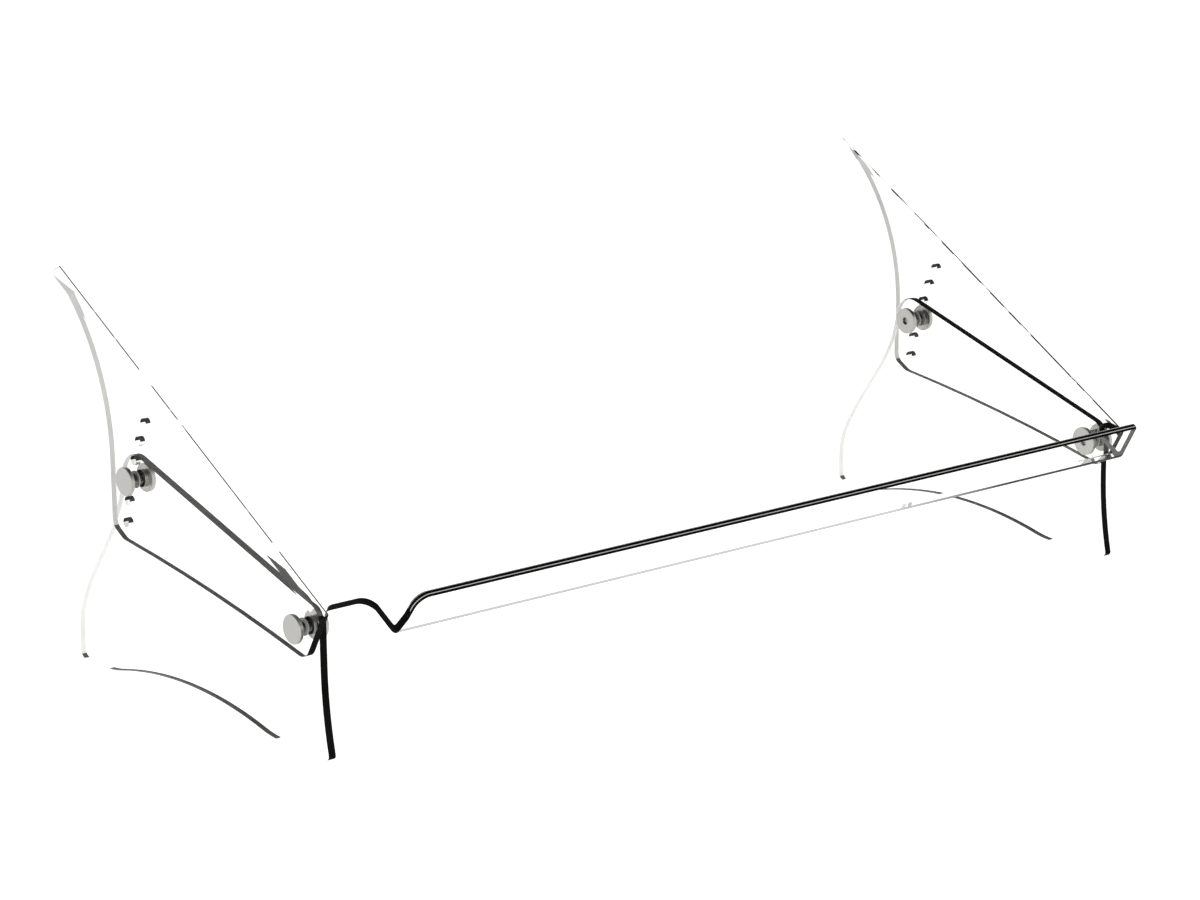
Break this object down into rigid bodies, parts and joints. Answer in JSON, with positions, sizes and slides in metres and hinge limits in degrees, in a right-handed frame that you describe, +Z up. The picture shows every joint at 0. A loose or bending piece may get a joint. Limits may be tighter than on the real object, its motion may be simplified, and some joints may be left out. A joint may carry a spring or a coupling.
{
  "type": "document holder",
  "caption": "In-line document holder: a bent clear sheet on two side legs, its slope set by thumb knobs in arcs of index holes.",
  "frame": {"origin": "on the desk, under the middle of the whole outline", "axes": "+X to the user's right along the lip, +Y to the back under the raised end of the tray, +Z up"},
  "size_m": [0.5374, 0.2492, 0.201],
  "materials": {
    "acrylic": "clear, flame-polished edges",
    "knob_steel": "satin",
    "stud_steel": "satin",
    "washer_nylon": "natural nylon"
  },
  "bodies": {
    "tray": {"tray_panel": "acrylic"},
    "left_leg": {"left_leg": "acrylic", "left_front_stud": "stud_steel", "left_front_washer": "washer_nylon", "left_front_spacer": "washer_nylon", "left_front_nut": "stud_steel", "left_rear_spacer": "washer_nylon", "left_rear_nut": "stud_steel"},
    "left_front_knob": {"left_front_knob": "knob_steel"},
    "left_rear_stud": {"left_rear_stud": "stud_steel", "left_rear_washer": "washer_nylon"},
    "left_rear_knob": {"left_rear_knob": "knob_steel"},
    "right_leg": {"right_leg": "acrylic", "right_front_stud": "stud_steel", "right_front_washer": "washer_nylon", "right_front_spacer": "washer_nylon", "right_front_nut": "stud_steel", "right_rear_spacer": "washer_nylon", "right_rear_nut": "stud_steel"},
    "right_front_knob": {"right_front_knob": "knob_steel"},
    "right_rear_stud": {"right_rear_stud": "stud_steel", "right_rear_washer": "washer_nylon"},
    "right_rear_knob": {"right_rear_knob": "knob_steel"}
  },
  "joints": [
    {"name": "left_tilt", "type": "hinge", "parent": "tray", "child": "left_leg", "pos_m": [-0.2605, -0.07809, 0.062], "axis": [-1, 0, 0], "range_deg": [-13.5, 13.5]},
    {"name": "left_front_knob_turn", "type": "hinge", "parent": "left_leg", "child": "left_front_knob", "pos_m": [-0.2671, -0.07809, 0.062], "axis": [-1, 0, 0], "continuous": true},
    {"name": "left_rear_stud_pull", "type": "slide", "parent": "left_leg", "child": "left_rear_stud", "axis": [-1, 0, 0], "range_m": [0, 0.0125]},
    {"name": "left_rear_knob_turn", "type": "hinge", "parent": "left_rear_stud", "child": "left_rear_knob", "pos_m": [-0.2671, 0.06079, 0.10472], "axis": [-1, 0, 0], "continuous": true},
    {"name": "right_tilt", "type": "hinge", "parent": "tray", "child": "right_leg", "pos_m": [0.2605, -0.07809, 0.062], "axis": [-1, 0, 0], "range_deg": [-13.5, 13.5]},
    {"name": "right_front_knob_turn", "type": "hinge", "parent": "right_leg", "child": "right_front_knob", "pos_m": [0.2671, -0.07809, 0.062], "axis": [1, 0, 0], "continuous": true},
    {"name": "right_rear_stud_pull", "type": "slide", "parent": "right_leg", "child": "right_rear_stud", "axis": [1, 0, 0], "range_m": [0, 0.0125]},
    {"name": "right_rear_knob_turn", "type": "hinge", "parent": "right_rear_stud", "child": "right_rear_knob", "pos_m": [0.2671, 0.06079, 0.10472], "axis": [1, 0, 0], "continuous": true}
  ]
}
